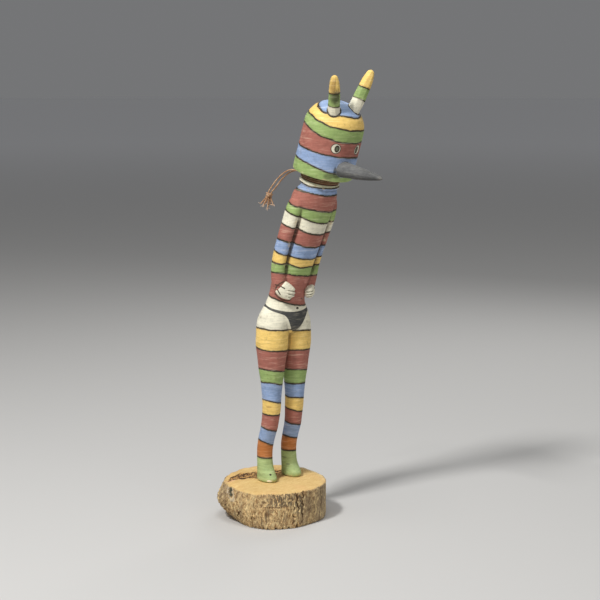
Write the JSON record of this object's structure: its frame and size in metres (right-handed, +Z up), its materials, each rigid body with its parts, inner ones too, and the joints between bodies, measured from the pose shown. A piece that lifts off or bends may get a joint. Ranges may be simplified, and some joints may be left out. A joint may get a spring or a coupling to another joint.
{
  "type": "carved kachina doll on a log base",
  "caption": "Slender carved and striped wooden doll with a case mask, horns, a long beak and twine at its neck, standing on a slice of log.",
  "frame": {"origin": "middle of the log's flat underside", "axes": "+Z up, the doll faces -Y, its left side at +X"},
  "size_m": [0.1042, 0.1619, 0.4],
  "materials": {
    "painted_wood": "matte hand-painted stripes over carved wood",
    "painted_horn": "matte hand-painted bands over carved wood",
    "charcoal_wood": "matte charcoal paint over carved wood",
    "bare_log": "sawn top, weathered sides",
    "twine": "twisted brown fibre"
  },
  "bodies": {
    "root": {"carved_figure": "painted_wood", "horn_right": "painted_horn", "horn_left": "painted_horn", "beak": "charcoal_wood", "log_base": "bare_log", "neck_twine": "twine", "twine_strand_right": "twine", "twine_strand_left": "twine", "twine_knot": "twine"}
  },
  "joints": []
}
